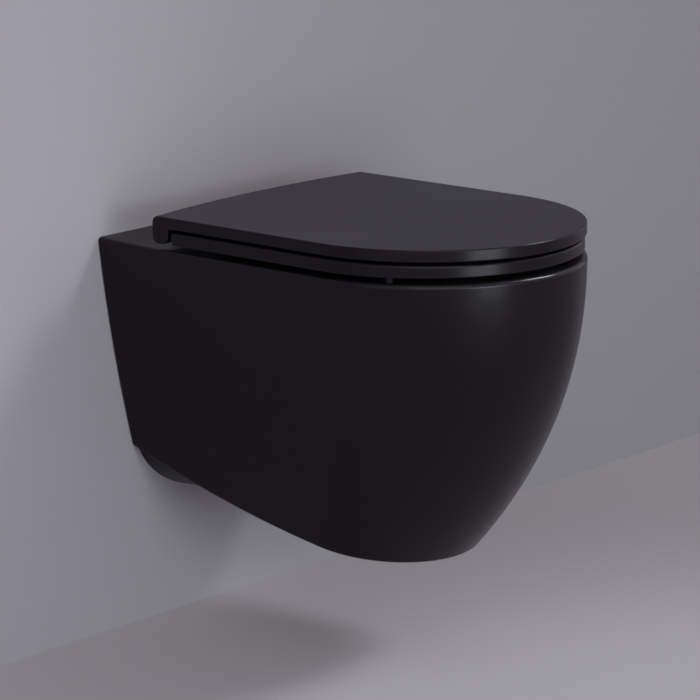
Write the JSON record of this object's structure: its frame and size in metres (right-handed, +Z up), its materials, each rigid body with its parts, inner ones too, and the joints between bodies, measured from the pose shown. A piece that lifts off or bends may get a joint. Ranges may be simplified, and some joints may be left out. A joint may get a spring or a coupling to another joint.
{
  "type": "wall hung toilet",
  "caption": "Wall hung toilet: a shrouded D-shaped pan with a rounded belly, an open rim and a trap inside, under a flat lift-off seat and lid on damped hinges.",
  "frame": {"origin": "on the wall face, midway between the axes of the two fixing studs", "axes": "+Z up, +Y into the wall, so that the pan stands out towards -Y; +X is to the right of somebody who faces the wall"},
  "size_m": [0.3694, 0.5556, 0.401],
  "materials": {
    "black_ceramic": "satin",
    "black_duroplast": "satin",
    "bracket_casting": "matte",
    "zinc_plated_steel": "satin",
    "stainless_steel": "satin",
    "chromed_zinc": "polished",
    "plug_rubber": "matte",
    "brass_nut": "satin",
    "damper_plastic": "satin",
    "bumper_rubber": "matte"
  },
  "bodies": {
    "pan": {"pan_ceramic": "black_ceramic", "fixing_bracket_right": "bracket_casting", "fixing_bracket_left": "bracket_casting", "stud_washers": "zinc_plated_steel", "stud_nuts": "zinc_plated_steel", "clamp_washers": "zinc_plated_steel", "clamp_screws": "zinc_plated_steel", "expansion_plugs": "plug_rubber", "plug_nuts": "brass_nut", "hinge_post_right": "stainless_steel", "hinge_post_left": "stainless_steel", "post_screws": "stainless_steel"},
    "hinge_carriage": {"hinge_housing_right": "chromed_zinc", "hinge_housing_left": "chromed_zinc", "retaining_clips": "stainless_steel", "seat_damper_body": "damper_plastic", "lid_damper_body": "damper_plastic", "lid_pivot_pin": "stainless_steel", "seat_pivot_pin": "stainless_steel"},
    "seat": {"seat_ring": "black_duroplast", "seat_bumpers_front": "bumper_rubber", "seat_bumpers_rear": "bumper_rubber", "seat_damper_rotor": "stainless_steel"},
    "lid": {"lid_panel": "black_duroplast", "lid_bumpers_front": "bumper_rubber", "lid_bumpers_rear": "bumper_rubber", "lid_damper_rotor": "stainless_steel"}
  },
  "joints": [
    {"name": "seat_lift_off", "type": "slide", "parent": "pan", "child": "hinge_carriage", "axis": [0, 0, 1], "range_m": [0, 0.022]},
    {"name": "seat_hinge", "type": "hinge", "parent": "hinge_carriage", "child": "seat", "pos_m": [0, -0.09, 0.10525], "axis": [-1, 0, 0], "range_deg": [0, 92]},
    {"name": "lid_hinge", "type": "hinge", "parent": "seat", "child": "lid", "pos_m": [0, -0.09, 0.10525], "axis": [-1, 0, 0], "range_deg": [0, 92]}
  ]
}
